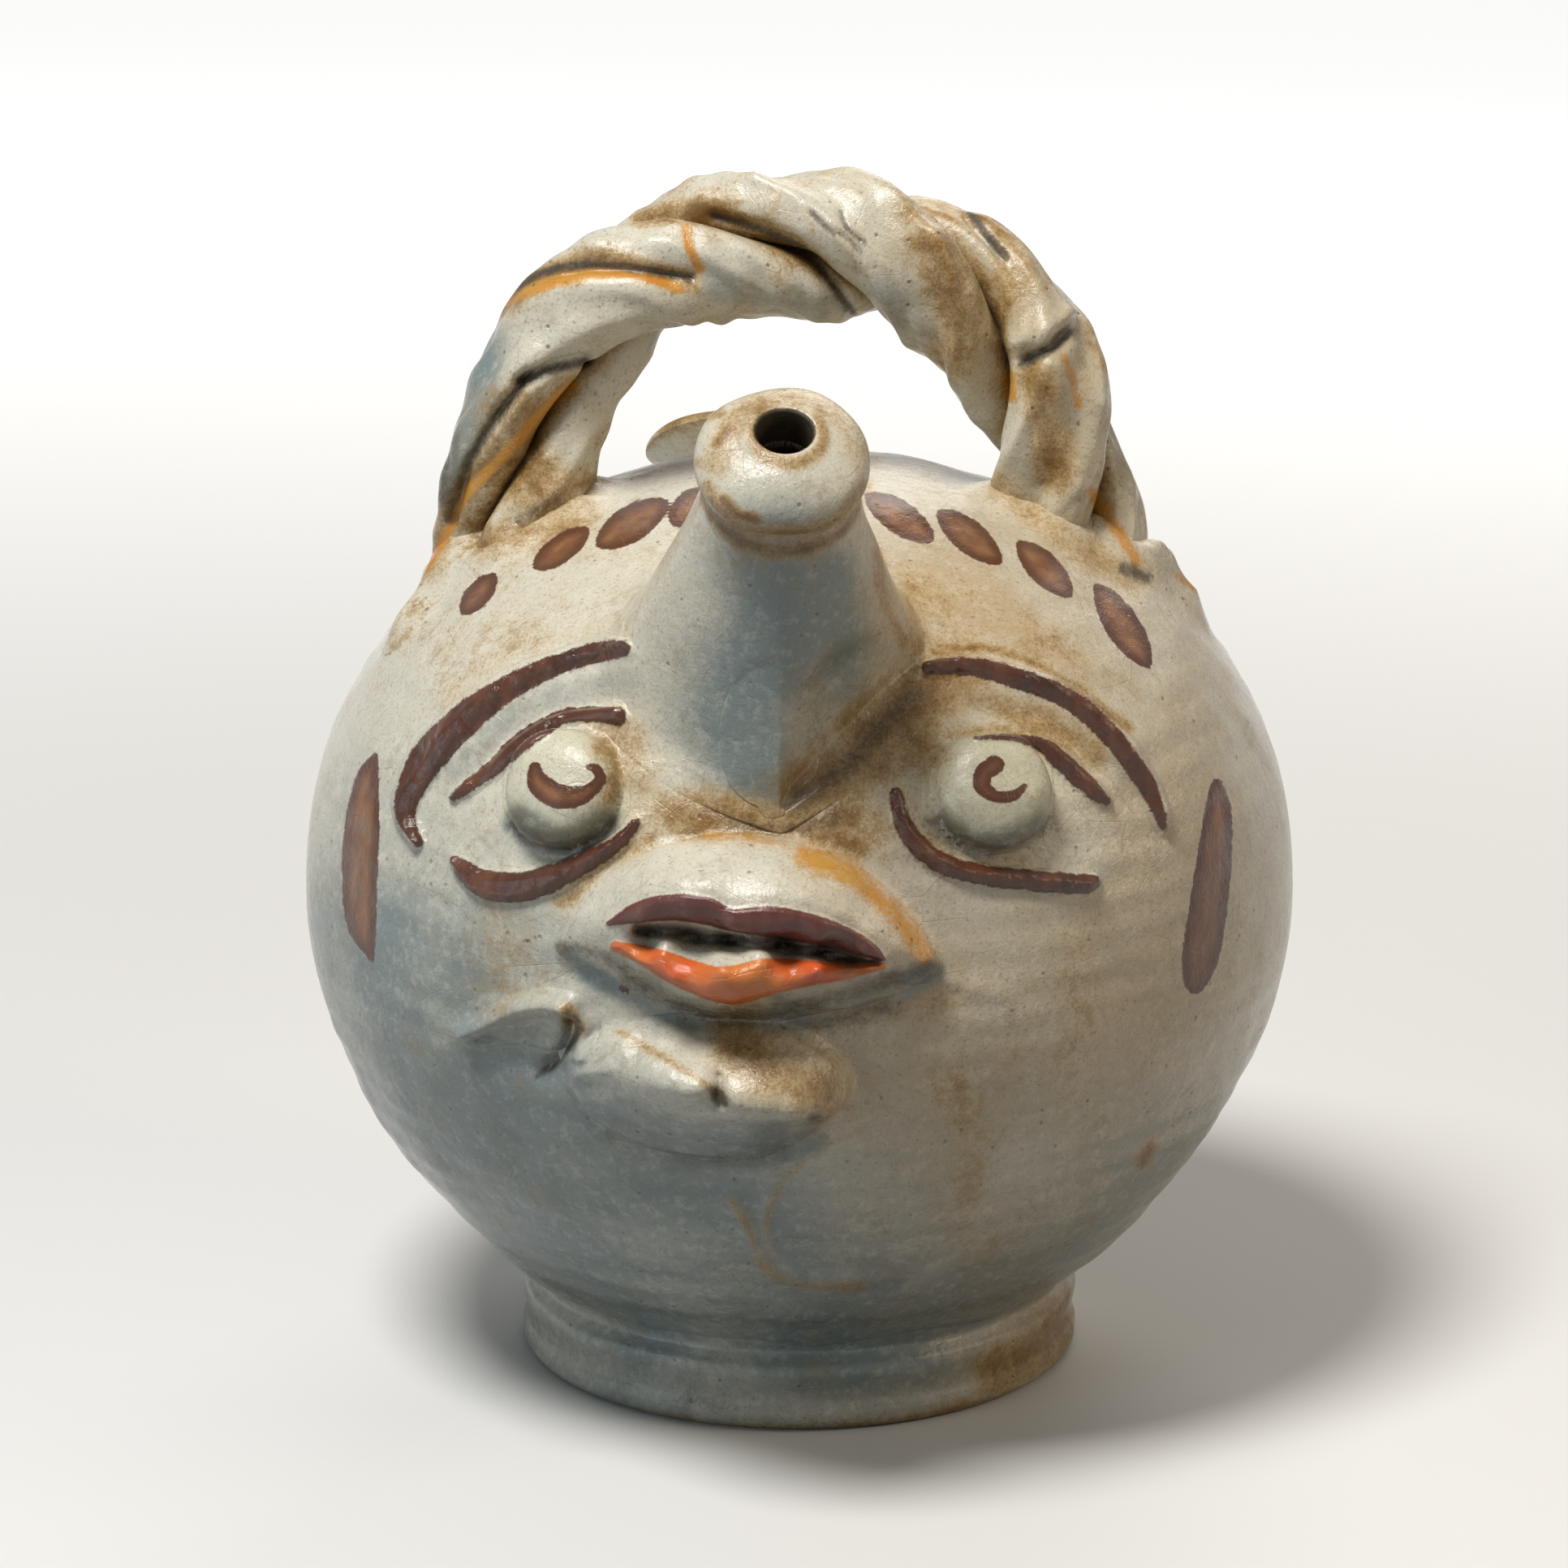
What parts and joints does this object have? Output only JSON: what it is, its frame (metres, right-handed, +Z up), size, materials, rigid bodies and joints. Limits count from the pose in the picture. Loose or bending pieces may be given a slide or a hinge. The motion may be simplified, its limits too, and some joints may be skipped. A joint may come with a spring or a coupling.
{
  "type": "anthropomorphic jug",
  "caption": "Globular tin-glazed earthenware jug modelled as a face, with a nose spout, a twisted rope handle over the top and a filling neck behind",
  "frame": {"origin": "centre of the foot's flat underside, on the surface that the jug stands on", "axes": "+Z up, -Y towards the viewer (the face and the nose spout), +X to the viewer's right"},
  "size_m": [0.2178, 0.2398, 0.2643],
  "materials": {
    "tin_glaze": "gloss",
    "blue_grey_glaze": "gloss",
    "stained_rope_glaze": "gloss",
    "manganese_glaze": "gloss",
    "maroon_lip_glaze": "gloss",
    "coral_lip_glaze": "gloss",
    "eye_glaze": "gloss"
  },
  "bodies": {
    "root": {"body_globe": "tin_glaze", "foot_ring": "blue_grey_glaze", "filling_neck": "tin_glaze", "nose_spout": "blue_grey_glaze", "spout_knob": "tin_glaze", "nose_bridge": "blue_grey_glaze", "handle_strand_a": "stained_rope_glaze", "handle_strand_b": "stained_rope_glaze", "handle_tail_left": "stained_rope_glaze", "handle_tail_right": "stained_rope_glaze", "eye_left": "eye_glaze", "eye_right": "eye_glaze", "brow_left": "manganese_glaze", "brow_right": "manganese_glaze", "upper_lid_left": "manganese_glaze", "upper_lid_right": "manganese_glaze", "lower_lid_left": "manganese_glaze", "lower_lid_right": "manganese_glaze", "mouth_mound": "tin_glaze", "upper_lip": "maroon_lip_glaze", "lower_lip": "coral_lip_glaze", "chin_boss": "blue_grey_glaze", "cheek_fold": "blue_grey_glaze"}
  },
  "joints": []
}
